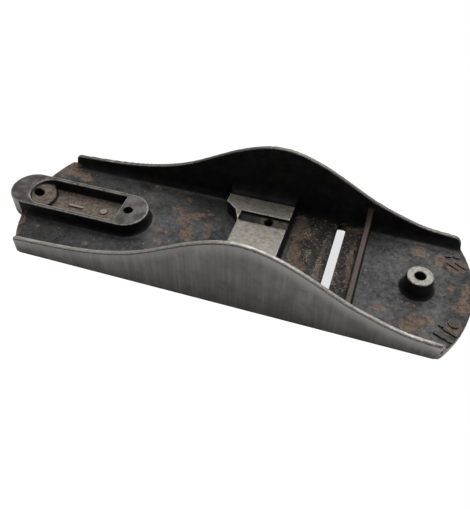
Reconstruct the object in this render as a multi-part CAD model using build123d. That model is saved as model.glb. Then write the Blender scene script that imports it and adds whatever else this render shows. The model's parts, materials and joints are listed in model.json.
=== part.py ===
from build123d import *
import os
from math import sqrt

# Bare cast-iron body of a wide bench (smoothing) plane, in millimetres.
# +X points to the toe, +Y to the left cheek, +Z up. The origin is the middle of the
# overall length and width, on the sole. The body is one casting. It is modelled whole
# and then divided along flat planes into named regions that meet face to face.

# Sole and floor
length = 251.3            # heel lobe to toe
width = 73.0              # a 2-7/8 inch sole
floor_top = 4.0           # thickness of the sole plate
toe_x = length / 2
knob_x = toe_x - 27.3     # axis of the front knob's boss
heel_arc_x = knob_x - 215.3
toe_radius = 65.2         # end arcs in plan
heel_radius = 73.5
toe_skew = 1.8            # the end arcs were dressed by hand: their middles lie off centre
heel_skew = 3.75
toe_corner_radius = 3.5   # where the end arcs turn into the sides
heel_corner_radius = 3.0

# Cheeks
cheek_thickness = 2.4
cheek_foot_radius = 4.7   # cast fillet from the floor up to the cheek
cheek_heel_x = knob_x - 203.8
cheek_toe_x = knob_x + 18.6
cheek_heel_radius = 3.0   # rounded upper corner at each end of a rim
cheek_toe_radius = 5.0
heel_rim_height = 10.4
toe_rim_height = 10.0
peak_height = 44.4
peak_x = knob_x - 79.0
# Rim height along one cheek, as (distance from the peak, height)
rim_behind_peak = [(-86.4, 13.4), (-52.0, 22.9), (-34.6, 32.2), (-17.3, 40.6)]
rim_ahead_of_peak = [(17.3, 40.4), (34.6, 31.6), (51.9, 21.6), (69.1, 14.6)]

# Mouth and the cross rib in front of it
mouth_rear_x = knob_x - 45.15
mouth_width = 4.3
mouth_half_length = 32.0
mouth_bevel_width = 2.0   # shallow dressed strip along the heel side
mouth_bevel_depth = 0.6
rib_rear_x = knob_x - 31.6
rib_thickness = 3.1
rib_height = 10.0
rib_end_radius = 10.0     # curve up each cheek

# Frog seat: three lands in one plane with a screw groove between each pair
frog_front_x = knob_x - 69.2
frog_rear_x = knob_x - 96.0
frog_horn_rear_x = knob_x - 105.8
frog_shoulder_x = knob_x - 99.2
frog_land_height = 12.7
frog_middle_half = 10.8
frog_groove_outer = 17.9
frog_horn_inner = 22.8
frog_land_outer = 28.4
frog_groove_depth = 2.0
frog_groove_rear_x = knob_x - 95.6
frog_screw_x = knob_x - 79.9
frog_screw_y = (frog_middle_half + frog_groove_outer) / 2 + 0.5
frog_screw_radius = 2.1

# Knob boss
boss_height = 13.2
boss_top_radius = 6.7
boss_foot_radius = 7.6

# Tote seat
seat_height = 11.9
seat_radius = 12.24
seat_rear_x = seat_radius - toe_x
seat_front_x = knob_x - 155.05
lobe_fillet = 3.0
recess_half_width = 9.7
recess_front_x = knob_x - 158.8
recess_rear_x = knob_x - 202.2
recess_floor = 5.2
tote_front_screw_x = knob_x - 153.9
tote_rear_screw_x = knob_x - 208.2
pad_tilt = 19.2           # degrees; the rear pad is square to the tote's leaning rod
pad_height = 9.8          # of its face, on the axis of the rear screw
pad_radius = 11.6         # of its front edge
pad_centre_x = knob_x - 210.9
rear_hole_depth = 5.0

# Screw holes of the knob and tote
screw_radius = 2.4
screw_chamfer = 0.35
hole_floor = 4.25         # all screw holes stop just above the floor plate

# Raised foundry marks
mark_height = 0.8
mark_width = 1.5

foot_flare = 1.3          # cast flare where a raised feature meets the floor
tall = 60.0
half_width = width / 2
cheek_inner = half_width - cheek_thickness
region_half = cheek_inner - cheek_foot_radius - 0.1   # plane between each cheek and the middle


def between(x0, x1, y0, y1, z0, z1):
    """An axis-aligned block from its six limits."""
    return Pos((x0 + x1) / 2, (y0 + y1) / 2, (z0 + z1) / 2) * Box(x1 - x0, y1 - y0, z1 - z0)


def stadium(rear_x, front_x, radius):
    """Plan of a bar with two round ends."""
    middle = Pos((rear_x + front_x) / 2, 0) * Rectangle(front_x - rear_x, 2 * radius)
    return middle + Pos(rear_x, 0) * Circle(radius) + Pos(front_x, 0) * Circle(radius)


def mirrored(solid):
    """The solid and its mirror image in the long middle plane."""
    return solid + mirror(solid, about=Plane.XZ)


def sagitta(radius, offset):
    """How far an arc falls back at this distance from its middle."""
    return radius - sqrt(radius**2 - offset**2)


def plan_outline():
    """Sole outline: two parallel sides, an arc at each end, and the tote seat's lobe."""
    toe_right = (toe_x - sagitta(toe_radius, half_width + toe_skew), -half_width)
    toe_left = (toe_x - sagitta(toe_radius, half_width - toe_skew), half_width)
    heel_right = (heel_arc_x + sagitta(heel_radius, half_width + heel_skew), -half_width)
    heel_left = (heel_arc_x + sagitta(heel_radius, half_width - heel_skew), half_width)
    edges = [
        ThreePointArc(toe_right, (toe_x, toe_skew), toe_left),
        Line(toe_left, heel_left),
        ThreePointArc(heel_left, (heel_arc_x, heel_skew), heel_right),
        Line(heel_right, toe_right),
    ]
    outline = make_face(edges)
    outline = fillet(outline.vertices().filter_by(lambda v: v.X > 0), toe_corner_radius)
    outline = fillet(outline.vertices().filter_by(lambda v: v.X < 0), heel_corner_radius)
    outline = outline + Pos(seat_rear_x, 0) * Circle(seat_radius)
    notch = outline.vertices().filter_by(lambda v: v.X < heel_arc_x + 5 and abs(v.Y) < seat_radius + 2)
    return fillet(notch, lobe_fillet)


def cheek_side_view():
    """Side profile of a cheek, drawn in X and Z."""
    rim = [(cheek_heel_x, heel_rim_height)]
    rim += [(peak_x + dx, z) for dx, z in rim_behind_peak]
    rim += [(peak_x, peak_height)]
    rim += [(peak_x + dx, z) for dx, z in rim_ahead_of_peak]
    rim += [(cheek_toe_x, toe_rim_height)]
    top = Spline(*rim, tangents=[(1, 0.07), (1, -0.06)])
    edges = [
        Line((cheek_heel_x, 0), rim[0]),
        top,
        Line(rim[-1], (cheek_toe_x, 0)),
        Line((cheek_toe_x, 0), (cheek_heel_x, 0)),
    ]
    profile = make_face(edges)
    toe_corner = profile.vertices().filter_by(lambda v: v.Y > 1 and v.X > 0)
    profile = fillet(toe_corner, cheek_toe_radius)
    heel_corner = profile.vertices().filter_by(lambda v: v.Y > 1 and v.X < cheek_heel_x + 1)
    return fillet(heel_corner, cheek_heel_radius)


def concave_corner(inner_y, base_z, radius):
    """Section of a cast fillet in Y and Z, filling the corner at (inner_y, base_z)."""
    corner = Pos(inner_y - radius / 2, base_z + radius / 2) * Rectangle(radius, radius)
    return corner - Pos(inner_y - radius, base_z + radius) * Circle(radius)


def along_x(section, x0, x1):
    """Extrude a section drawn in Y and Z from x0 to x1."""
    return extrude(Plane((x0, 0, 0), x_dir=(0, 1, 0), z_dir=(1, 0, 0)) * section, x1 - x0)


def cheeks(outline):
    """Both cheeks with the fillets along their feet."""
    side = extrude(Plane.XZ * cheek_side_view(), half_width, both=True)
    wall = between(-toe_x, toe_x, cheek_inner, half_width, 0, tall)
    foot = along_x(concave_corner(cheek_inner, floor_top, cheek_foot_radius), -toe_x, toe_x)
    return mirrored((wall + foot) & side) & extrude(outline, tall)


def frog_seat():
    """Raised block for the frog, with its cast fillets up the cheeks."""
    half_plan = Polyline(
        (frog_front_x, 0),
        (frog_front_x, cheek_inner),
        (frog_horn_rear_x, cheek_inner),
        (frog_horn_rear_x, frog_horn_inner),
        (frog_shoulder_x, frog_groove_outer),
        (frog_rear_x, frog_middle_half),
        (frog_rear_x, 0),
        close=True,
    )
    plan = make_face(half_plan.edges())
    lower = Pos(0, 0, floor_top) * plan
    half = extrude(lower, frog_land_height - floor_top)
    climb = concave_corner(cheek_inner, frog_land_height, cheek_inner - frog_land_outer)
    half += along_x(climb, frog_horn_rear_x, frog_front_x)
    groove = between(
        frog_groove_rear_x, frog_front_x, frog_middle_half, frog_groove_outer,
        frog_land_height - frog_groove_depth, tall,
    )
    screw = Pos(frog_screw_x, frog_screw_y, hole_floor) * Cylinder(
        frog_screw_radius, tall, align=(Align.CENTER, Align.CENTER, Align.MIN)
    )
    flare = between(frog_front_x, frog_front_x + foot_flare, 0, cheek_inner, floor_top, floor_top + foot_flare)
    flare = chamfer(flare.edges().filter_by(Axis.Y).sort_by(Axis.X)[-1:].sort_by(Axis.Z)[-1:], foot_flare * 0.98)
    return mirrored(half + flare - groove - screw)


def cross_rib():
    """Thin rib from cheek to cheek in front of the mouth, curving up at both ends."""
    flat = between(rib_rear_x, rib_rear_x + rib_thickness, 0, cheek_inner, floor_top, rib_height)
    climb = along_x(
        concave_corner(cheek_inner, rib_height, rib_end_radius), rib_rear_x, rib_rear_x + rib_thickness
    )
    return mirrored(flat + climb)


def screw_hole(depth):
    """Blind tapped hole with a small lead-in chamfer, sunk from the origin down its own axis."""
    downward = (Align.CENTER, Align.CENTER, Align.MAX)
    bore = Cylinder(screw_radius, depth, align=downward)
    lead = Cone(screw_radius, screw_radius + screw_chamfer, screw_chamfer, align=downward)
    return bore + lead


def upright_hole(x, top_z):
    """A screw hole in a level face, down to just above the floor plate."""
    return Pos(x, 0, top_z) * screw_hole(top_z - hole_floor)


def knob_boss():
    """Tapered boss that the front knob's stud screws into."""
    outer = Polyline(
        (0, floor_top),
        (boss_foot_radius + foot_flare, floor_top),
        (boss_foot_radius, floor_top + foot_flare),
        (boss_top_radius, boss_height),
        (0, boss_height),
        close=True,
    )
    boss = revolve(Plane.XZ * make_face(outer.edges()), Axis.Z)
    return Pos(knob_x, 0, 0) * boss - upright_hole(knob_x, boss_height)


def tote_seat():
    """Raised seat for the tote, hollow between its two screw pads."""
    plan = stadium(seat_rear_x, seat_front_x, seat_radius)
    wide_plan = stadium(seat_rear_x + seat_radius / 2, seat_front_x, seat_radius + foot_flare)
    body = extrude(Pos(0, 0, floor_top) * plan, seat_height - floor_top)
    flare = extrude(Pos(0, 0, floor_top) * wide_plan, foot_flare, taper=44)
    length_of_recess = recess_front_x - recess_rear_x
    recess = Pos(recess_rear_x + length_of_recess / 2, 0) * Rectangle(length_of_recess, 2 * recess_half_width)
    recess += Pos(recess_rear_x, 0) * Circle(recess_half_width)
    hollow = extrude(Pos(0, 0, recess_floor) * recess, tall)
    face = Pos(tote_rear_screw_x, 0, pad_height) * Rot(0, pad_tilt, 0)
    below_face = face * Box(tall, tall, tall, align=(Align.CENTER, Align.CENTER, Align.MAX))
    hollow -= extrude(Pos(pad_centre_x, 0) * Circle(pad_radius), tall) & below_face
    seat = body + flare - hollow
    return seat - upright_hole(tote_front_screw_x, seat_height) - face * screw_hole(rear_hole_depth)


def mouth():
    """Slot through the sole, with the sloped bed for the iron on its heel side."""
    front_x = mouth_rear_x + mouth_width
    bevel_floor = floor_top - mouth_bevel_depth
    slot = between(mouth_rear_x, front_x, -mouth_half_length, mouth_half_length, -1, rib_height)
    bevel = Polyline(
        (mouth_rear_x, bevel_floor),
        (mouth_rear_x - mouth_bevel_width, floor_top),
        (mouth_rear_x - mouth_bevel_width, rib_height),
        (mouth_rear_x, rib_height),
        close=True,
    )
    bed = extrude(Plane.XZ * make_face(bevel.edges()), region_half, both=True)
    return slot + bed


def bar_mark(x, y, base_z, bar_length, angle):
    """Raised bar with round ends; x is measured from the knob."""
    bar = SlotOverall(bar_length, mark_width)
    return extrude(Pos(knob_x + x, y, base_z) * Rot(0, 0, angle) * bar, mark_height)


def pip_mark(x, y, base_z, radius):
    """Small raised disc; x is measured from the knob."""
    return extrude(Pos(knob_x + x, y, base_z) * Circle(radius), mark_height)


def toe_marks():
    """Plain bars and pips on each side of the toe."""
    right = [
        bar_mark(14.9, -26.0, floor_top, 9.5, -22),
        bar_mark(17.9, -22.2, floor_top, 7.0, -22),
        bar_mark(14.1, -19.7, floor_top, 3.9, -22),
        pip_mark(19.4, -16.5, floor_top, 2.8),
    ]
    left = [
        bar_mark(13.1, 26.4, floor_top, 3.6, 12),
        pip_mark(17.2, 27.4, floor_top, 1.6),
        bar_mark(15.9, 20.2, floor_top, 7.4, -30),
        bar_mark(19.6, 21.6, floor_top, 7.0, -30),
    ]
    return Compound(right + left)


def seat_marks():
    """A bar and a pip on the floor of the tote seat's recess."""
    bar = bar_mark(-186.3, -0.4, recess_floor, 8.6, 0)
    return Compound([bar, pip_mark(-169.7, 0.3, recess_floor, 2.0)])


def casting():
    """The whole body as one solid, before it is divided."""
    outline = plan_outline()
    body = extrude(outline, floor_top)
    body += cheeks(outline)
    body += frog_seat()
    body += cross_rib()
    body += knob_boss()
    body += tote_seat()
    return body - mouth()


def regions():
    """Named blocks that divide the casting, so that each feature is a node of its own."""
    end = toe_x + 5
    inner = region_half
    mouth_x = mouth_rear_x + mouth_width / 2
    seat_end = seat_front_x + seat_radius + 5
    pad_rear_x = knob_x - 196.6
    frog_rear = frog_horn_rear_x - 2
    frog_front = frog_front_x + foot_flare + 1
    rib = (rib_rear_x - 3, rib_rear_x + rib_thickness + 3)
    lands = {
        "frog_land_middle": (-frog_middle_half, frog_middle_half),
        "frog_screw_pad_left": (frog_middle_half, frog_groove_outer),
        "frog_screw_pad_right": (-frog_groove_outer, -frog_middle_half),
        "frog_land_left": (frog_groove_outer, inner),
        "frog_land_right": (-inner, -frog_groove_outer),
    }
    blocks = {
        "left_cheek": between(-end, end, inner, half_width + 5, -1, tall),
        "right_cheek": between(-end, end, -half_width - 5, -inner, -1, tall),
        "heel_floor": between(-end, mouth_x, -inner, inner, -1, floor_top),
        "toe_floor": between(mouth_x, end, -inner, inner, -1, floor_top),
        "cross_rib": between(*rib, -inner, inner, floor_top, tall),
        "knob_boss": between(rib[1], end, -inner, inner, floor_top, tall),
        "tote_seat_rear_pad": between(-end, pad_rear_x, -inner, inner, floor_top, tall),
        "tote_seat_rails": between(pad_rear_x, recess_front_x, -inner, inner, floor_top, tall),
        "tote_seat_front_pad": between(recess_front_x, seat_end, -inner, inner, floor_top, tall),
    }
    for name, (y0, y1) in lands.items():
        blocks[name] = between(frog_rear, frog_front, y0, y1, floor_top, tall)
    return blocks


def main():
    os.makedirs("parts", exist_ok=True)
    body = casting()
    nodes = {name: body & block for name, block in regions().items()}
    nodes["toe_marks"] = toe_marks()
    nodes["seat_marks"] = seat_marks()
    for name, shape in nodes.items():
        export_step(shape, f"parts/{name}.step")
        print(name, round(shape.volume, 1))


main()
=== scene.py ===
import json
import math

import bmesh
import bpy
import numpy as np
from mathutils import Euler, Matrix, Vector, kdtree, noise


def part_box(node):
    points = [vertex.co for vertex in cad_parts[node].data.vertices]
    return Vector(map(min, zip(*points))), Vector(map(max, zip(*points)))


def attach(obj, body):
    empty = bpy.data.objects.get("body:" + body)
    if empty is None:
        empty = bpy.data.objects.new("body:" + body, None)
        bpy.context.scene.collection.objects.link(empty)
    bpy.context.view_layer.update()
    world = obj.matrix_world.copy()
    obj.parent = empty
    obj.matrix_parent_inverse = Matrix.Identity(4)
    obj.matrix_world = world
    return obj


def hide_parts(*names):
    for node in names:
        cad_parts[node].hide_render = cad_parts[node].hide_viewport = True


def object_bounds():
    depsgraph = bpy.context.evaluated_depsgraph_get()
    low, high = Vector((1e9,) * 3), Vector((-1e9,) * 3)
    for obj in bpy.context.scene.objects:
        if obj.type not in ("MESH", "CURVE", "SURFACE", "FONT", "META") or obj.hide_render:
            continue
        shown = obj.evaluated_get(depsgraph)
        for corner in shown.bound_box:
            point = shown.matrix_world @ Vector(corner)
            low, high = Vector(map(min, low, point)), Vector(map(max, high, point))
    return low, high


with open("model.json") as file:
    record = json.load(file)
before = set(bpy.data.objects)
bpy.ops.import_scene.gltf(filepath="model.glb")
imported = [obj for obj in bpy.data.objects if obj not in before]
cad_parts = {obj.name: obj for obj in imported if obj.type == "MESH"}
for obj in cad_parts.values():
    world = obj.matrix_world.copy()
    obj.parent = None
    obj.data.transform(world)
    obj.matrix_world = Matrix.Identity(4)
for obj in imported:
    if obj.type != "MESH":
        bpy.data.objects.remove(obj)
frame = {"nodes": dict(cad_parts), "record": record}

# The bare cast-iron body of a wide smoothing plane. The CAD regions are fused into one
# closed casting, given the rounded edges and uneven skin of old japanned iron, and divided
# again along the same planes. Lengths are in metres unless a name says mm.

MM = 0.001
VOXEL = 0.5 * MM
cad_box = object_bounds()
nodes = frame["nodes"]
mounts = {m["name"]: m for m in frame["record"]["mounts"]}
MARKS = ("toe_marks", "seat_marks")
REGIONS = [name for name in nodes if name not in MARKS]

# Places and sizes, all read from the frame
toe_x = cad_box[1][0]
heel_x = cad_box[0][0]
half_width = cad_box[1][1]
floor_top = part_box("toe_floor")[1][2]
middle_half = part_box("toe_floor")[1][1]
mouth_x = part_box("toe_floor")[0][0]
knob_x = mounts["knob_screw"]["pos_m"][0]
boss_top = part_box("knob_boss")[1][2]
seat_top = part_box("tote_seat_front_pad")[1][2]
seat_front_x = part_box("tote_seat_front_pad")[1][0]
rear_screw_x = mounts["tote_rear_screw"]["pos_m"][0]
land_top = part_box("frog_land_middle")[1][2]
frog_front_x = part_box("frog_screw_pad_left")[1][0]
frog_screw_x = mounts["frog_screws"]["pos_m"][0]
frog_screw_y = mounts["frog_screws"]["dims"]["spacing_y_mm"] * MM / 2
rib_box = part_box("cross_rib")
peak_z = cad_box[1][2]


# ---------------------------------------------------------------- mesh helpers

def link(obj):
    bpy.context.scene.collection.objects.link(obj)
    return obj


def new_object(name, mesh):
    return link(bpy.data.objects.new(name, mesh))


def discard(obj):
    """Remove an object and its mesh."""
    mesh = obj.data
    bpy.data.objects.remove(obj)
    bpy.data.meshes.remove(mesh)


def apply_modifiers(obj):
    """Replace obj's mesh by the one that its modifiers make."""
    deps = bpy.context.evaluated_depsgraph_get()
    deps.update()
    mesh = bpy.data.meshes.new_from_object(obj.evaluated_get(deps))
    obj.modifiers.clear()
    old = obj.data
    obj.data = mesh
    bpy.data.meshes.remove(old)


def welded_copy(name):
    """A closed copy of a CAD node's mesh, in a new object."""
    mesh = nodes[name].data.copy()
    mesh.materials.clear()
    bm = bmesh.new()
    bm.from_mesh(mesh)
    bmesh.ops.remove_doubles(bm, verts=bm.verts, dist=0.002 * MM)
    bm.to_mesh(mesh)
    bm.free()
    return new_object("copy_" + name, mesh)


def combine(obj, other, operation):
    """Replace obj's mesh by its boolean with other."""
    mod = obj.modifiers.new("combine", "BOOLEAN")
    mod.operation = operation
    mod.solver = "MANIFOLD"
    mod.object = other
    apply_modifiers(obj)


def remesh(obj, voxel):
    """Replace obj's mesh by an even one of the same shape."""
    mod = obj.modifiers.new("remesh", "REMESH")
    mod.mode = "VOXEL"
    mod.voxel_size = voxel
    apply_modifiers(obj)


def coordinates(mesh):
    co = np.empty(len(mesh.vertices) * 3, dtype=np.float32)
    mesh.vertices.foreach_get("co", co)
    return co.reshape(-1, 3).astype(np.float64)


def set_coordinates(mesh, co):
    mesh.vertices.foreach_set("co", co.astype(np.float32).ravel())
    mesh.update()


def vertex_normals(mesh):
    values = np.empty(len(mesh.vertices) * 3, dtype=np.float32)
    mesh.vertex_normals.foreach_get("vector", values)
    return values.reshape(-1, 3).astype(np.float64)


def edge_ends(mesh):
    ends = np.empty(len(mesh.edges) * 2, dtype=np.int32)
    mesh.edges.foreach_get("vertices", ends)
    return ends.reshape(-1, 2)


def neighbour_mean(co, ends):
    """Mean of each vertex's neighbours."""
    count = np.bincount(ends.ravel(), minlength=len(co)).astype(float)
    total = np.empty_like(co)
    for axis in range(co.shape[1]):
        total[:, axis] = np.bincount(ends[:, 0], co[ends[:, 1], axis], len(co))
        total[:, axis] += np.bincount(ends[:, 1], co[ends[:, 0], axis], len(co))
    return total / np.maximum(count, 1)[:, None]


def smooth(mesh, steps, factor=0.5):
    """Round the edges and take out the voxel steps."""
    co = coordinates(mesh)
    ends = edge_ends(mesh)
    for _ in range(steps):
        co += factor * (neighbour_mean(co, ends) - co)
    set_coordinates(mesh, co)


def field(co, size_mm, seed):
    """Smooth noise from -1 to 1 at each point, with lumps about size_mm across."""
    scale = 1 / (size_mm * MM)
    shift = Vector((seed * 7.13, seed * 3.71, seed * 5.37))
    return np.array([noise.noise(Vector(p) * scale + shift) for p in co.tolist()])


def ramp(value, low, high):
    """0 below low, 1 above high, smooth between."""
    t = np.clip((value - low) / (high - low), 0, 1)
    return t * t * (3 - 2 * t)


# ---------------------------------------------------------------- the casting

# Sizes repeated from the CAD model
TOE_RADIUS = 65.2 * MM     # end arcs in plan, with their middles off centre
HEEL_RADIUS = 73.5 * MM
TOE_SKEW = 1.8 * MM
HEEL_SKEW = 3.75 * MM
SEAT_RADIUS = 12.24 * MM   # round ends of the tote seat
RIM_WIDTH = 2.4 * MM
seat_rear_x = heel_x + SEAT_RADIUS
heel_arc_x = knob_x - 215.3 * MM

# Where two bright finishes end
LAND_OUTER = 28.3 * MM     # just short of the lands' ends
BOSS_RADIUS = 7.0 * MM     # just past the boss's top


def fused_casting():
    """All the CAD regions as one closed, evenly divided mesh."""
    whole = welded_copy(REGIONS[0])
    for name in REGIONS[1:]:
        part = welded_copy(name)
        combine(whole, part, "UNION")
        discard(part)
    whole.name = "casting"
    remesh(whole, VOXEL)
    smooth(whole.data, 3)
    return whole


def rim_height(co, up):
    """Height of the cheek's rim above each point, from the mesh itself."""
    step = 1 * MM
    column = ((co[:, 0] - heel_x) / step).astype(int)
    inside = half_width - RIM_WIDTH + 0.5 * MM
    on_rim = (np.abs(co[:, 1]) > inside) & (up > 0.6) & (co[:, 2] > floor_top + 3 * MM)
    count = np.bincount(column[on_rim], minlength=column.max() + 1)
    total = np.bincount(column[on_rim], co[on_rim, 2], minlength=column.max() + 1)
    centres = heel_x + (np.arange(len(count)) + 0.5) * step
    used = count > 0
    return np.interp(co[:, 0], centres[used], total[used] / count[used])


def finishes(mesh):
    """What each point of the casting looks like, as named values from 0 to 1."""
    co = coordinates(mesh)
    normal = vertex_normals(mesh)
    x, y, z = co.T
    side = np.abs(y)
    up = normal[:, 2]
    below_rim = rim_height(co, up) - z
    toe_reach = TOE_RADIUS - np.hypot(x - (toe_x - TOE_RADIUS), y - TOE_SKEW)
    heel_reach = HEEL_RADIUS - np.hypot(x - (heel_arc_x + HEEL_RADIUS), y - HEEL_SKEW)
    lobe_reach = np.hypot(x - seat_rear_x, y)
    boss_reach = np.hypot(x - knob_x, y)
    flat = ramp(up, 0.75, 0.95)

    outer = ramp(side, half_width - 0.5 * MM, half_width - 0.25 * MM)
    sole = ramp(-up, 0.5, 0.8) * ramp(-z, -0.6 * MM, -0.2 * MM)
    upright = ramp(1 - np.abs(up), 0.2, 0.5)
    low = ramp(floor_top - z, 0.1 * MM, 0.4 * MM) * upright
    toe_edge = ramp(-toe_reach, -0.7 * MM, -0.3 * MM) * (x > knob_x) * upright
    heel_edge = ramp(-heel_reach, -0.7 * MM, -0.3 * MM) * (x < rear_screw_x + 10 * MM) * low
    lobe = ramp(lobe_reach, SEAT_RADIUS - 0.5 * MM, SEAT_RADIUS - 0.2 * MM)
    lobe = lobe * (x < heel_arc_x + 1.5 * MM) * ramp(1 - np.abs(up), 0.1, 0.4)
    rim = ramp(side, half_width - RIM_WIDTH - 0.35 * MM, half_width - RIM_WIDTH + 0.05 * MM)
    rim = rim * ramp(up, 0.3, 0.6) * ramp(z, floor_top + 2 * MM, floor_top + 3.5 * MM)

    near_land = (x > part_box("frog_land_left")[0][0] - MM) & (x < frog_front_x + MM)
    land = ramp(z, land_top - 0.45 * MM, land_top - 0.2 * MM) * flat * near_land
    land = land * ramp(LAND_OUTER - side, -0.3 * MM, 0.1 * MM)
    # worn outer edges of the lands, which also carry a painted highlight
    land_edge_highlight = ramp(z, land_top - 0.9 * MM, land_top - 0.5 * MM) * ramp(up, 0.15, 0.45) * near_land
    land_edge_highlight = land_edge_highlight * ramp(LAND_OUTER - side, -0.6 * MM, -0.2 * MM)
    boss = ramp(z, boss_top - 0.45 * MM, boss_top - 0.2 * MM) * flat * (boss_reach < BOSS_RADIUS)
    seat = ramp(z, seat_top - 0.7 * MM, seat_top - 0.4 * MM) * ramp(up, 0.45, 0.7)
    seat = seat * (x < seat_front_x + SEAT_RADIUS)
    on_rib = (x > rib_box[0][0] - 0.3 * MM) & (x < rib_box[1][0] + 0.3 * MM)
    rib = ramp(z, floor_top + 2.5 * MM, floor_top + 4.5 * MM) * ramp(up, 0.05, 0.35) * on_rib
    inside_seat = (x > seat_rear_x) & (x < seat_front_x - 6 * MM) & (side < SEAT_RADIUS - 2.6 * MM)
    recess = inside_seat * flat * ramp(seat_top - z, 0.4 * MM, 1.0 * MM)
    groove = near_land & (x < frog_front_x - 0.3 * MM) & (side < LAND_OUTER)
    groove = groove * (0.12 + 0.42 * ramp(x, frog_screw_x - 9 * MM, frog_screw_x - 3 * MM))
    groove = groove * flat * ramp(land_top - z, 0.6 * MM, 1.2 * MM) * (z > 9 * MM)
    recess = np.maximum(recess, groove)
    well = ramp(x, frog_front_x + 1 * MM, frog_front_x + 3 * MM)
    well = well * ramp(rib_box[0][0] - x, 0, 1 * MM) * ramp(floor_top + 1.5 * MM - z, 0, 1 * MM)

    dust_and_sheen = ramp(up, 0.80, 0.97) * ramp(floor_top + 2 * MM - z, 0, 1 * MM)
    # painted shade: the dust is thinned towards the toe and the heel, so the floor darkens towards its
    # ends where the sheen falls off
    dust_and_sheen = dust_and_sheen * (1 - 0.5 * ramp(x, knob_x + 4 * MM, knob_x + 20 * MM))
    dust_and_sheen = dust_and_sheen * (1 - 0.4 * ramp(seat_front_x - x, 8 * MM, 30 * MM))

    machined = np.clip(outer + sole + lobe + rim + land + boss + seat, 0, 1)
    return {
        "ground": np.clip(outer + sole + toe_edge + heel_edge + lobe, 0, 1),
        "rim": rim,
        "dull_rim": rim * np.maximum(y > 0, 0.55 * ramp(x, knob_x - 2 * MM, knob_x + 14 * MM)),
        "land": np.clip(land, 0, 1),
        "worn_edge_highlight": np.clip(land_edge_highlight + 0.35 * seat, 0, 1),
        "boss": boss,
        "seat": seat,
        "rib": rib,
        "recess": recess,
        "well": well,
        "machined": machined,
        # painted shade: a thin dark line on the outer face just below the rim's edge
        "painted_shade_below_rim": outer * ramp(below_rim, 0.25 * MM, 0.5 * MM)
                    * ramp(below_rim, 1.15 * MM, 0.85 * MM),
        "dust_and_sheen": dust_and_sheen,
        # painted highlight: a soft light band on the cheeks' outer faces below the rim, stronger
        # towards the toe
        "painted_highlight_below_rim": ramp(below_rim, 9 * MM, 1 * MM) * (0.32 + 0.5 * ramp(x, -5 * MM, 45 * MM)),
        "toe_edge": toe_edge,
        "edge_wear": np.clip(toe_edge + heel_edge, 0, 1),
    }


def cast_skin(mesh, finish):
    """Sink the japanned surfaces a little and unevenly, as on a sand casting."""
    co = coordinates(mesh)
    normal = vertex_normals(mesh)
    rough = 0.5 + 0.5 * field(co, 9, 1)
    fine = 0.5 + 0.5 * field(co, 2.6, 2)
    grit = 0.5 + 0.5 * field(co, 1.1, 3)
    depth = (0.03 + 0.10 * rough + 0.06 * fine + 0.03 * grit + 0.10 * grit * finish["well"]) * MM
    depth = depth * (1 - finish["machined"])
    set_coordinates(mesh, co - normal * depth[:, None])


# Brown patches on the floor: x from the knob, y, half length, half width, all in mm
RUST = [
    (-132, 16, 3.0, 2.6), (-126, 9, 3.4, 5.5), (-123, 13.5, 4.5, 2.2), (-121.5, 2.5, 3.2, 5.5),
    (-119, -3, 2.6, 2.6), (-111, 3, 2.6, 4.0), (-112, 10, 2.0, 2.6), (-109, 16, 2.0, 1.6),
    (-113.5, 18.5, 2.4, 1.5), (-119, 16, 3.2, 1.6), (-133.5, -9.3, 2.2, 1.8),
    (-131, -2.3, 2.0, 1.3), (-135.5, -1.8, 2.0, 1.5), (-129, 26.4, 2.6, 1.2), (-150, 30, 2.0, 1.2),
    (-206, 29, 6.0, 7.0), (-199, 26.5, 5.0, 3.6), (-193, 24.3, 5.0, 2.6),
    (-211, -19, 2.4, 6.0), (-208, -27, 2.2, 4.0), (-200, -19, 1.4, 1.2), (-169.5, -23, 1.5, 1.8),
    (-1, 25, 4.4, 3.4), (9, 22, 2.4, 6.0), (7.5, -18, 3.4, 3.0), (0, -24, 6.0, 3.2),
    (3, -19, 5.0, 3.4), (22, -4.5, 3.4, 7.0), (23, 4, 2.6, 6.0), (16, 5, 2.2, 2.2),
    (12.5, 0, 1.6, 1.6), (-1.5, -11.5, 2.6, 1.4), (-15, -18, 4.0, 2.2), (19, -19, 4.0, 5.0),
    (18, 21, 5.0, 5.0), (-65, 27.5, 3.6, 5.0), (-64, 17, 3.6, 6.0), (-62, 4, 3.0, 8.0),
    (-58, -4, 3.4, 4.0), (-48.7, -12, 1.2, 14.0), (-34.5, 8, 1.6, 5.0), (-33, 31, 4.0, 1.6),
    (-33.2, -4, 1.0, 9.0), (-39, 29.5, 8.0, 1.4), (-65, -21, 4.5, 9.0),
]


def rust_field(co):
    """Brown patches where the japanning has gone, as blobs with ragged edges."""
    x, y, z = (co / MM).T
    total = np.zeros(len(co))
    for from_knob, cy, rx, ry in RUST:
        reach = ((x - knob_x / MM - from_knob) / rx) ** 2 + ((y - cy) / ry) ** 2
        total = np.maximum(total, np.exp(-0.75 * reach))
    in_mouth = (x * MM > mouth_x - 2.6 * MM) & (x * MM < mouth_x) & (np.abs(y * MM) < 32.5 * MM)
    total = np.maximum(total, 0.75 * in_mouth)
    ragged = 0.30 * field(co, 5, 11) + 0.26 * field(co, 2.2, 12) + 0.18 * field(co, 1.0, 13)
    return np.clip(total + ragged, 0, 1) * ramp(floor_top + 2.5 * MM - co[:, 2], 0, 1 * MM)


# Light grit in the well: x from the knob, y, half length, half width, all in mm
GRIT = [
    (-67, 6, 4.0, 13), (-64, -10, 6.0, 12), (-60, 20, 4.5, 5.0), (-66.5, 24, 2.0, 5.0),
    (-49.2, -8, 1.5, 22), (-50, -22, 2.5, 9), (-41.2, -5, 1.2, 7), (-38, 30, 7.0, 1.2),
    (-54, -18, 6.0, 7.0), (-34.5, 10, 1.0, 12), (-56, 6, 2.0, 3.0), (-65, -24, 5.0, 9.0),
]


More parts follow.
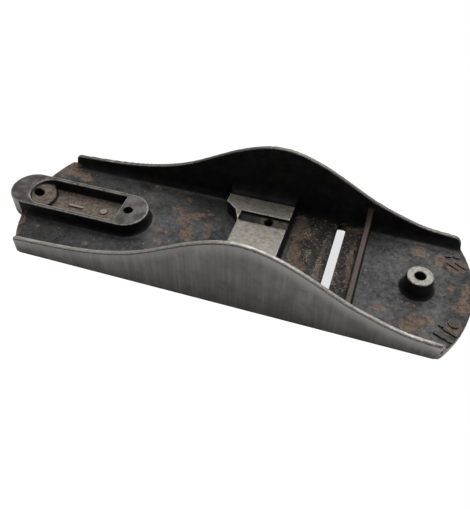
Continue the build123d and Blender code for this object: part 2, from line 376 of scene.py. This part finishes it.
def grit_field(co):
    """Where light brown grit has caked between the frog seat and the cross rib."""
    x, y, z = (co / MM).T
    total = np.zeros(len(co))
    for from_knob, cy, rx, ry in GRIT:
        reach = ((x - knob_x / MM - from_knob) / rx) ** 2 + ((y - cy) / ry) ** 2
        total = np.maximum(total, np.exp(-0.9 * reach))
    return np.clip(total + 0.2 * field(co, 4, 14), 0, 1)


def convexity(mesh):
    """From 0 to 1 on outer edges, where the paint wears first."""
    co = coordinates(mesh)
    ends = edge_ends(mesh)
    mean = co.copy()
    for _ in range(3):
        mean = 0.5 * mean + 0.5 * neighbour_mean(mean, ends)
    rise = np.einsum("ij,ij->i", co - mean, vertex_normals(mesh))
    return ramp(rise, 0.03 * MM, 0.12 * MM)


def store(mesh, values):
    """Keep the named values on the mesh, where the material can read them."""
    for name, value in values.items():
        layer = mesh.attributes.new(name, "FLOAT", "POINT")
        layer.data.foreach_set("value", np.asarray(value, dtype=np.float32))


# ---------------------------------------------------------------- dividing it again

def block(name, low, high):
    """A plain box used only to cut with."""
    mesh = bpy.data.meshes.new(name)
    bm = bmesh.new()
    bmesh.ops.create_cube(bm, size=1)
    size = Vector(high) - Vector(low)
    bmesh.ops.scale(bm, vec=size, verts=bm.verts)
    bmesh.ops.translate(bm, vec=(Vector(low) + Vector(high)) / 2, verts=bm.verts)
    bm.to_mesh(mesh)
    bm.free()
    return new_object(name, mesh)


def region_limits():
    """The two corners that bound each region, on the same planes as the CAD model."""
    far = 0.2
    high = peak_z + 10 * MM
    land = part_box("frog_land_middle")
    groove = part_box("frog_land_left")[0][1]
    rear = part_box("frog_land_left")[0][0] - 2 * MM
    front = frog_front_x + 2.3 * MM
    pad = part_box("tote_seat_rear_pad")[1][0]
    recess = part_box("tote_seat_rails")[1][0]
    seat_end = seat_front_x + 5 * MM
    rib_low = rib_box[0][0] - 3 * MM
    rib_high = rib_box[1][0] + 3 * MM
    half = middle_half
    return {
        "left_cheek": ((-far, half, -MM), (far, far, high)),
        "right_cheek": ((-far, -far, -MM), (far, -half, high)),
        "heel_floor": ((-far, -half, -MM), (mouth_x, half, floor_top)),
        "toe_floor": ((mouth_x, -half, -MM), (far, half, floor_top)),
        "cross_rib": ((rib_low, -half, floor_top), (rib_high, half, high)),
        "knob_boss": ((rib_high, -half, floor_top), (far, half, high)),
        "tote_seat_rear_pad": ((-far, -half, floor_top), (pad, half, high)),
        "tote_seat_rails": ((pad, -half, floor_top), (recess, half, high)),
        "tote_seat_front_pad": ((recess, -half, floor_top), (seat_end, half, high)),
        "frog_land_middle": ((rear, land[0][1], floor_top), (front, land[1][1], high)),
        "frog_screw_pad_left": ((rear, land[1][1], floor_top), (front, groove, high)),
        "frog_screw_pad_right": ((rear, -groove, floor_top), (front, land[0][1], high)),
        "frog_land_left": ((rear, groove, floor_top), (front, half, high)),
        "frog_land_right": ((rear, -half, floor_top), (front, -groove, high)),
    }


def hand_over(piece, whole_co, tree, values):
    """Give a cut piece the values of the nearest points of the whole casting."""
    co = coordinates(piece.data)
    source = np.zeros(len(co), dtype=np.int32)
    piece.data.attributes["source"].data.foreach_get("value", source)
    source = np.clip(source - 1, 0, len(whole_co) - 1)
    lost = np.linalg.norm(whole_co[source] - co, axis=1) > 0.001 * MM
    for index in np.flatnonzero(lost):
        source[index] = tree.find(co[index])[1]
    piece.data.attributes.remove(piece.data.attributes["source"])
    store(piece.data, {name: value[source] for name, value in values.items()})


def divided(whole, values):
    """The casting's pieces, one for each CAD region, closed and touching face to face."""
    whole_co = coordinates(whole.data)
    tree = kdtree.KDTree(len(whole_co))
    for index, point in enumerate(whole_co.tolist()):
        tree.insert(point, index)
    tree.balance()
    layer = whole.data.attributes.new("source", "INT", "POINT")
    layer.data.foreach_set("value", np.arange(1, len(whole_co) + 1, dtype=np.int32))
    pieces = {}
    for name, (low, high) in region_limits().items():
        cutter = block("cutter", low, high)
        piece = new_object(name + "_iron", whole.data.copy())
        combine(piece, cutter, "INTERSECT")
        discard(cutter)
        hand_over(piece, whole_co, tree, values)
        pieces[name] = piece
    return pieces


# ---------------------------------------------------------------- screw threads and marks

HOLE_FLOOR = 4.25 * MM          # the blind holes stop here, just above the sole plate
SCREW_CHAMFER = 0.35 * MM
HANDLE_THREAD = 0.35 * MM, 1.27 * MM   # depth and pitch
FROG_THREAD = 0.3 * MM, 1.06 * MM
THREAD_PLAY = 0.04 * MM         # the cutter's crests stand this far outside the plain bore


def thread_cutter(depth, above, crest, root, pitch):
    """A closed screw-shaped solid along Z that leaves a tapped hole when it is taken away."""
    around = 40
    per_turn = 10
    rows = int((depth + above) / pitch * per_turn)
    bm = bmesh.new()
    rings = []
    for row in range(rows + 1):
        rise = (depth + above) * row / rows
        ring = []
        for step in range(around):
            angle = 2 * math.pi * step / around
            phase = (rise / pitch - step / around) % 1.0
            swell = 1 - abs(2 * phase - 1)
            radius = crest + (root - crest) * min(1.0, 1.25 * swell)
            place = radius * math.cos(angle), radius * math.sin(angle), rise - depth
            ring.append(bm.verts.new(place))
        rings.append(ring)
    for lower, upper in zip(rings, rings[1:]):
        for step in range(around):
            after = (step + 1) % around
            bm.faces.new((lower[step], lower[after], upper[after], upper[step]))
    bm.faces.new(list(reversed(rings[0])))
    bm.faces.new(rings[-1])
    mesh = bpy.data.meshes.new("thread_cutter")
    bm.to_mesh(mesh)
    bm.free()
    return new_object("thread_cutter", mesh)


def screw_holes():
    """Node, centre of the hole's mouth, axis, depth, crest radius, thread depth and pitch."""
    found = []
    screws = [
        ("knob_boss", "knob_screw"),
        ("tote_seat_front_pad", "tote_front_screw"),
        ("tote_seat_rear_pad", "tote_rear_screw"),
    ]
    for node, name in screws:
        axis = Vector(mounts[name]["axis"])
        length = mounts[name]["dims"]["length_mm"] * MM
        crest = mounts[name]["dims"]["r_mm"] * MM
        mouth = Vector(mounts[name]["pos_m"]) + axis * (length / 2 + SCREW_CHAMFER)
        found.append((node, mouth, axis, length + 0.4 * MM, crest, *HANDLE_THREAD))
    crest = mounts["frog_screws"]["dims"]["hole_r_mm"] * MM
    for node, side in (("frog_screw_pad_left", 1), ("frog_screw_pad_right", -1)):
        mouth = Vector((frog_screw_x, side * frog_screw_y, land_top))
        found.append((node, mouth, Vector((0, 0, 1)), land_top - HOLE_FLOOR, crest, *FROG_THREAD))
    return found


def cut_threads(pieces, names):
    """Tap the five screw holes."""
    for node, mouth, axis, depth, crest, thread, pitch in screw_holes():
        crest_line = crest + THREAD_PLAY
        cutter = thread_cutter(depth, above=1 * MM, crest=crest_line, root=crest + thread, pitch=pitch)
        lean = axis.to_track_quat("Z", "Y").to_matrix().to_4x4()
        cutter.data.transform(Matrix.Translation(mouth) @ lean)
        count = len(cutter.data.vertices)
        store(cutter.data, {name: np.full(count, 0.4 * (name == "rust")) for name in names})
        combine(pieces[node], cutter, "DIFFERENCE")
        discard(cutter)


def raised_marks(name, value_names):
    """Plain cast bars and pips, rounded by wear and let into the uneven floor."""
    piece = welded_copy(name)
    piece.name = name + "_iron"
    remesh(piece, 0.14 * MM)
    smooth(piece.data, 9)
    co = coordinates(piece.data)
    rise = co[:, 2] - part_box(name)[0][2]
    values = {key: np.zeros(len(co)) for key in value_names}
    values["rib"] = (1.0 if name == "seat_marks" else 0.7) * ramp(rise, 0.35 * MM, 0.6 * MM)
    values["rust"] = 0.3 * ramp(rise, 0.2 * MM, 0.5 * MM)
    values["caked"] = np.full(len(co), float(name == "seat_marks")) * values["rib"]
    shoulder = ramp(1 - vertex_normals(piece.data)[:, 2], 0.03, 0.25)
    # painted highlight on the marks' shoulders, where light would catch them
    values["worn_edge_highlight"] = 0.6 * shoulder * ramp(rise, 0.4 * MM, 0.6 * MM)
    co[:, 2] -= 0.3 * MM * ramp(-rise, -0.3 * MM, 0)
    set_coordinates(piece.data, co)
    store(piece.data, values)
    return piece


# ---------------------------------------------------------------- material

# Linear colours. Two together are the dark and the light end of one finish.
JAPANNING = (0.013, 0.013, 0.013), (0.025, 0.025, 0.025)
DUST = (0.066, 0.064, 0.063)
BROWN_SPECKLE = (0.060, 0.044, 0.033)
PALE_GRAINS = (0.26, 0.22, 0.18)
DARK_DIRT = (0.030, 0.025, 0.021)
CAKED_DIRT = (0.105, 0.082, 0.064)
LIGHT_GRIT = (0.15, 0.12, 0.095), (0.38, 0.32, 0.255)
BARE_BROWN = (0.072, 0.051, 0.038), (0.215, 0.150, 0.108)
RECESS_SKIN = (0.060, 0.049, 0.038), (0.225, 0.185, 0.145)
RUBBED_IRON = (0.17, 0.15, 0.13)
RIB_TOP = (0.105, 0.080, 0.070)
MARK_TOPS = (0.36, 0.31, 0.25)
SEAT_IRON = (0.055, 0.052, 0.049), (0.150, 0.141, 0.130)
GROUND_IRON = (0.205, 0.198, 0.186), (0.350, 0.341, 0.324)
DULL_GROUND = (0.215, 0.206, 0.193)
GROUND_BLOTS = (0.15, 0.14, 0.128)
PAINTED_CHEEK_HIGHLIGHT = (0.52, 0.51, 0.485)
PAINTED_RIM_SHADE = (0.05, 0.047, 0.043)
PAINTED_TOE_HIGHLIGHT = (0.50, 0.48, 0.44)
WORN_END = (0.12, 0.08, 0.055)
RIM_IRON = (0.25, 0.238, 0.22), (0.47, 0.452, 0.42)
DULL_RIM = (0.08, 0.075, 0.07)
LAND_IRON = (0.175, 0.156, 0.131), (0.355, 0.328, 0.287)
WORN_EDGE_HIGHLIGHT = (0.80, 0.76, 0.68)
BOSS_IRON = (0.12, 0.114, 0.103), (0.30, 0.287, 0.266)


class Nodes:
    """Short calls for building one material's node tree."""

    def __init__(self, name):
        self.material = bpy.data.materials.new(name)
        self.material.use_nodes = True
        self.tree = self.material.node_tree
        self.tree.nodes.clear()
        output = self.tree.nodes.new("ShaderNodeOutputMaterial")
        self.shader = self.tree.nodes.new("ShaderNodeBsdfPrincipled")
        self.join(self.shader.outputs[0], output.inputs[0])
        self.place = self.tree.nodes.new("ShaderNodeTexCoord").outputs["Object"]

    def join(self, source, target):
        """Link one socket to another."""
        self.tree.links.new(source, target)

    def feed(self, socket, value):
        """Give an input a constant, or link it to an output."""
        if isinstance(value, bpy.types.NodeSocket):
            self.join(value, socket)
        else:
            socket.default_value = value

    def value(self, name):
        """A named value stored on the mesh."""
        node = self.tree.nodes.new("ShaderNodeAttribute")
        node.attribute_name = name
        return node.outputs["Fac"]

    def both(self, a, b):
        """a * b, kept between 0 and 1."""
        node = self.tree.nodes.new("ShaderNodeMath")
        node.operation = "MULTIPLY"
        node.use_clamp = True
        self.feed(node.inputs[0], a)
        self.feed(node.inputs[1], b)
        return node.outputs[0]

    def weighted(self, a, b, add=0.0):
        """a * b + add, not clamped."""
        node = self.tree.nodes.new("ShaderNodeMath")
        node.operation = "MULTIPLY_ADD"
        self.feed(node.inputs[0], a)
        self.feed(node.inputs[1], b)
        self.feed(node.inputs[2], add)
        return node.outputs[0]

    def noise(self, size_mm, detail, roughness=0.55):
        """Noise of an even grain."""
        return self.noise_at(self.place, 1000 / size_mm, detail, roughness)

    def streaks(self, per_metre, detail, roughness):
        """Noise drawn out in one direction, given in grains to the metre along each axis."""
        node = self.tree.nodes.new("ShaderNodeMapping")
        node.inputs["Scale"].default_value = per_metre
        self.join(self.place, node.inputs["Vector"])
        return self.noise_at(node.outputs[0], 1, detail, roughness)

    def noise_at(self, place, scale, detail, roughness):
        """Noise sampled at the given place."""
        node = self.tree.nodes.new("ShaderNodeTexNoise")
        node.inputs["Scale"].default_value = scale
        node.inputs["Detail"].default_value = detail
        node.inputs["Roughness"].default_value = roughness
        self.join(place, node.inputs["Vector"])
        return node.outputs["Fac"]

    def step(self, value, low, high):
        """0 below low, 1 above high, smooth between."""
        node = self.tree.nodes.new("ShaderNodeMapRange")
        node.interpolation_type = "SMOOTHSTEP"
        self.feed(node.inputs["Value"], value)
        node.inputs["From Min"].default_value = low
        node.inputs["From Max"].default_value = high
        return node.outputs["Result"]

    def mix(self, factor, a, b):
        """a at 0, b at 1, for two numbers or two colours."""
        colour = isinstance(a, tuple) or isinstance(b, tuple)
        if not colour:
            colour = any(getattr(v, "type", "") == "RGBA" for v in (a, b))
        node = self.tree.nodes.new("ShaderNodeMix")
        node.data_type = "RGBA" if colour else "FLOAT"
        low, high, out = (6, 7, 2) if colour else (2, 3, 0)
        self.feed(node.inputs[0], factor)
        self.feed(node.inputs[low], (*a, 1) if isinstance(a, tuple) else a)
        self.feed(node.inputs[high], (*b, 1) if isinstance(b, tuple) else b)
        return node.outputs[out]


def casting_material():
    """Old black japanning over cast iron, ground and machined bright where tools have cut it."""
    n = Nodes("japanned_cast_iron")
    broad = n.noise(16, 3)
    patchy = n.noise(5, 5, 0.6)
    small = n.noise(1.6, 5, 0.6)
    grit = n.noise(0.7, 3, 0.7)

    # black japanning
    colour = n.mix(n.step(patchy, 0.3, 0.75), *JAPANNING)
    rough = n.mix(n.step(small, 0.3, 0.7), 0.30, 0.48)
    metal = 0.0

    def layer(mask, new_colour, new_rough, new_metal):
        nonlocal colour, rough, metal
        colour = n.mix(mask, colour, new_colour)
        rough = n.mix(mask, rough, new_rough)
        metal = n.mix(mask, metal, new_metal)

    # dull dust on the upward faces, in mottled drifts, thinned towards the toe and heel as painted
    # shade
    flecks = n.weighted(n.step(small, 0.3, 0.7), 0.35, 0.12)
    drift = n.weighted(n.step(n.noise(9, 5, 0.65), 0.38, 0.68), 0.42, flecks)
    layer(n.both(drift, n.value("dust_and_sheen")), DUST, 0.62, 0.0)

    # fine brown speckle everywhere on the paint, and a few pale grains on the dusty faces
    layer(n.both(n.step(small, 0.60, 0.70), 0.35), BROWN_SPECKLE, 0.7, 0.0)
    pale = n.both(n.step(n.noise(1.5, 2, 0.5), 0.685, 0.75), n.value("dust_and_sheen"))
    layer(pale, PALE_GRAINS, 0.8, 0.0)

    # gritty dirt round the mouth: dark cake, then light brown grains where it is thickest
    gritty = n.both(n.value("well"), n.step(n.noise(2.6, 7, 0.8), 0.40, 0.58))
    layer(gritty, DARK_DIRT, 0.85, 0.0)
    cake = n.step(n.weighted(small, 0.5, n.value("caked")), 0.40, 0.95)
    layer(n.both(cake, 0.85), CAKED_DIRT, 0.85, 0.0)
    grains = n.weighted(n.value("caked"), 0.15, n.noise(1.05, 2, 0.6))
    grains = n.both(n.step(grains, 0.60, 0.68), n.value("well"))
    layer(grains, n.mix(n.step(grit, 0.35, 0.7), *LIGHT_GRIT), 0.85, 0.0)

    # bare brown patches, fading into the paint in fine grains
    patch = n.step(n.weighted(grit, 0.4, n.weighted(small, 0.35, n.value("rust"))), 0.74, 1.06)
    brown = n.mix(n.step(small, 0.3, 0.7), *BARE_BROWN)
    layer(n.both(patch, 0.92), brown, 0.68, 0.1)

    # brown skin on the floor of the tote seat's recess
    skin = n.both(n.value("recess"), n.step(patchy, 0.15, 0.45))
    layer(skin, n.mix(n.step(small, 0.25, 0.7), *RECESS_SKIN), 0.7, 0.05)

    # edges rubbed through to iron
    rubbed = n.both(n.value("edge"), n.step(n.noise(2.5, 5, 0.7), 0.42, 0.66))
    layer(n.both(rubbed, 0.7), RUBBED_IRON, 0.5, 0.5)

    # worn top of the cross rib
    layer(n.both(n.value("rib"), n.step(small, 0.1, 0.5)), RIB_TOP, 0.6, 0.3)
    pale_tops = n.both(n.value("rib"), n.value("caked"))
    layer(n.both(pale_tops, 0.8), MARK_TOPS, 0.6, 0.1)

    # top of the tote seat: ground once, dull now
    seat = n.step(n.weighted(n.noise(3.0, 5, 0.65), 0.25, n.value("seat")), 0.55, 0.75)
    seat_colour = n.mix(n.step(n.noise(6, 5, 0.65), 0.35, 0.65), *SEAT_IRON)
    layer(seat, seat_colour, 0.5, 0.3)

    # ground cheeks, sole and ends, with upright grinding lines
    lines = n.streaks((2600, 1000, 55), 3, 0.7)
    wide_lines = n.streaks((650, 600, 22), 3, 0.6)
    bands = n.streaks((150, 300, 14), 3, 0.6)
    drawn = n.weighted(lines, 0.25, n.weighted(wide_lines, 0.35, n.weighted(bands, 0.4)))
    ground_colour = n.mix(n.step(drawn, 0.34, 0.66), *GROUND_IRON)
    ground_colour = n.mix(n.weighted(n.step(broad, 0.44, 0.66), 0.55), ground_colour, DULL_GROUND)
    blots = n.both(n.step(n.noise(9, 6, 0.72), 0.48, 0.66), 0.42)
    ground_colour = n.mix(blots, ground_colour, GROUND_BLOTS)
    # painted highlight: the outer cheeks are lightened in a band below the rim, standing in for a
    # reflection
    ground_colour = n.mix(n.value("painted_highlight_below_rim"), ground_colour, PAINTED_CHEEK_HIGHLIGHT)
    # painted shade: a thin dark line just below the rim, standing in for the shaded edge
    ground_colour = n.mix(n.value("painted_shade_below_rim"), ground_colour, PAINTED_RIM_SHADE)
    layer(n.step(n.value("ground"), 0.35, 0.65), ground_colour, n.mix(lines, 0.36, 0.46), 0.92)
    # painted highlight: the toe end is made pale, as if lit from beyond the toe
    layer(n.both(n.value("toe_edge"), 0.75), PAINTED_TOE_HIGHLIGHT, 0.42, 0.7)
    worn_end = n.both(n.value("edge_wear"), n.step(n.noise(3.5, 5, 0.7), 0.45, 0.6))
    layer(worn_end, WORN_END, 0.75, 0.2)

    # bright rims, lands and boss top
    along = n.streaks((80, 1600, 1600), 3, 0.6)
    rim_colour = n.mix(n.step(along, 0.3, 0.7), *RIM_IRON)
    rim_colour = n.mix(n.both(n.value("dull_rim"), 0.75), rim_colour, DULL_RIM)
    layer(n.step(n.value("rim"), 0.35, 0.65), rim_colour, 0.48, 0.9)
    worn_edge_highlight = n.both(n.value("worn_edge_highlight"), n.step(n.noise(2, 5, 0.7), 0.30, 0.55))
    worn_skin = n.weighted(n.noise(2.6, 7, 0.75), 0.5)
    scratches = n.weighted(n.streaks((260, 1500, 1500), 5, 0.75), 0.5, worn_skin)
    land_colour = n.mix(n.step(scratches, 0.38, 0.62), *LAND_IRON)
    layer(n.step(n.value("land"), 0.3, 0.7), land_colour, n.mix(small, 0.42, 0.58), 0.55)
    # worn edges of the lands, seat and marks, with a painted highlight laid along them
    layer(worn_edge_highlight, WORN_EDGE_HIGHLIGHT, 0.6, 0.2)
    boss_colour = n.mix(n.step(n.noise(1.6, 6, 0.75), 0.3, 0.7), *BOSS_IRON)
    layer(n.step(n.value("boss"), 0.3, 0.7), boss_colour, 0.48, 0.85)

    n.join(colour, n.shader.inputs["Base Color"])
    n.join(rough, n.shader.inputs["Roughness"])
    n.join(metal, n.shader.inputs["Metallic"])

    # the paint shines unevenly where it lies level, and hardly at all on the walls
    mottle = n.step(n.noise(2.4, 6, 0.75), 0.36, 0.64)
    level_shine = n.weighted(mottle, 0.42, n.weighted(n.step(broad, 0.40, 0.62), 0.22, 0.06))
    shine = n.mix(n.step(n.value("dust_and_sheen"), 0.2, 0.8), 0.06, level_shine)
    n.join(n.mix(metal, shine, 0.5), n.shader.inputs["Specular IOR Level"])

    # relief: cast skin, brush marks in the paint, pitted rust and fine grinding lines
    height = n.weighted(small, 0.8, n.weighted(grit, 0.3, n.weighted(patchy, 2.2)))
    height = n.weighted(patch, n.weighted(grit, 0.8, -0.6), height)
    height = n.weighted(gritty, n.weighted(grit, 2.2), height)
    height = n.mix(n.step(n.value("machined"), 0.3, 0.7), height, n.weighted(lines, 0.12))
    bump = n.tree.nodes.new("ShaderNodeBump")
    bump.inputs["Strength"].default_value = 1.0
    bump.inputs["Distance"].default_value = 0.09 * MM
    n.join(height, bump.inputs["Height"])
    n.join(bump.outputs[0], n.shader.inputs["Normal"])
    return n.material


def dress(piece, node, material):
    """Give a finished piece its shading, its material and its place in the frame."""
    mesh = piece.data
    mesh.materials.clear()
    mesh.materials.append(material)
    mesh.polygons.foreach_set("use_smooth", np.ones(len(mesh.polygons), dtype=bool))
    mesh.set_sharp_from_angle(angle=math.radians(50))
    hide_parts(node)
    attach(piece, "root")


# ---------------------------------------------------------------- stage

def plane(name, low, reach, x=0.0):
    """A level square for the stage."""
    mesh = bpy.data.meshes.new(name)
    near, far = x - reach, x + reach
    corners = [(near, -reach, low), (far, -reach, low), (far, reach, low), (near, reach, low)]
    mesh.from_pydata(corners, [], [(0, 1, 2, 3)])
    return new_object(name, mesh)


def surface(name, brightness, glow):
    """A matt, colourless stage material."""
    material = bpy.data.materials.new(name)
    material.use_nodes = True
    shader = material.node_tree.nodes["Principled BSDF"]
    shader.inputs["Base Color"].default_value = (brightness, brightness, brightness, 1)
    shader.inputs["Roughness"].default_value = 0.9
    shader.inputs["Emission Color"].default_value = (1, 1, 1, 1)
    shader.inputs["Emission Strength"].default_value = glow
    return material


def stage():
    """A white floor and surround, the shade under the mouth, and what the iron reflects."""
    floor = plane("floor", -0.4 * MM, 3.0)
    shade = plane("mouth_shade", -0.3 * MM, 34 * MM, mouth_x)
    mesh = bpy.data.meshes.new("surround")
    bm = bmesh.new()
    bmesh.ops.create_icosphere(bm, subdivisions=4, radius=6.0)
    bm.to_mesh(mesh)
    bm.free()
    surround = new_object("surround", mesh)
    for obj, glow in ((floor, 1.0), (surround, 1.0), (shade, 0.74)):
        obj.data.materials.append(surface(obj.name, 0.0, glow))
        obj.visible_diffuse = False
        obj.visible_glossy = False
        obj.visible_transmission = False
        obj.visible_shadow = False
    table = plane("table", -0.2 * MM, 1.5)
    table.data.materials.append(surface("table", 0.75, 0.0))
    table.visible_camera = False
    card = new_object("dark_card", bpy.data.meshes.new("dark_card"))
    corners = [(-1.3, -1.0, 0.40), (1.3, -1.0, 0.40), (1.3, -0.20, 1.02), (-1.3, -0.20, 1.02)]
    card.data.from_pydata(corners, [], [(0, 1, 2, 3)])
    card.data.materials.append(surface("dark_card", 0.02, 0.0))
    card.visible_camera = False


def soft_light(name, place, target, size, power):
    data = bpy.data.lights.new(name, "AREA")
    data.shape = "RECTANGLE"
    data.size, data.size_y = size
    data.energy = power
    light = link(bpy.data.objects.new(name, data))
    light.location = place
    light.rotation_euler = (Vector(target) - Vector(place)).to_track_quat("-Z", "Y").to_euler()


def studio():
    world = bpy.data.worlds.new("studio")
    world.use_nodes = True
    background = world.node_tree.nodes["Background"]
    background.inputs["Color"].default_value = (1, 1, 1, 1)
    background.inputs["Strength"].default_value = 0.50
    bpy.context.scene.world = world
    middle = (0.0, 0, 0.02)
    soft_light("key_light", (0.12, 0.62, 0.78), middle, (1.2, 0.8), 7)
    soft_light("top_light", (-0.06, 0.08, 1.1), middle, (1.5, 0.35), 3)
    scene = bpy.context.scene
    scene.view_settings.view_transform = "Standard"


def camera():
    """Close above the right cheek, looking down and across to the left one."""
    data = bpy.data.cameras.new("camera")
    data.sensor_width = 36
    data.lens = 42.70
    data.shift_y = 0.0047
    view = link(bpy.data.objects.new("camera", data))
    view.location = (0.07424, -0.20703, 0.23256)
    view.rotation_euler = Euler([math.radians(angle) for angle in (42.576, 0.246, 18.289)])
    bpy.context.scene.camera = view


# ---------------------------------------------------------------- put together

whole = fused_casting()
finish = finishes(whole.data)
finish["rust"] = rust_field(coordinates(whole.data))
finish["edge"] = convexity(whole.data)
# the worn edges and their painted highlight are kept to outer edges
finish["worn_edge_highlight"] = finish["worn_edge_highlight"] * ramp(finish["edge"], 0.05, 0.35)
finish["caked"] = finish["well"] * grit_field(coordinates(whole.data))
cast_skin(whole.data, finish)
pieces = divided(whole, finish)
discard(whole)
cut_threads(pieces, list(finish))
for name in MARKS:
    pieces[name] = raised_marks(name, list(finish))
iron = casting_material()
for name, piece in pieces.items():
    dress(piece, name, iron)

stage()
studio()
camera()
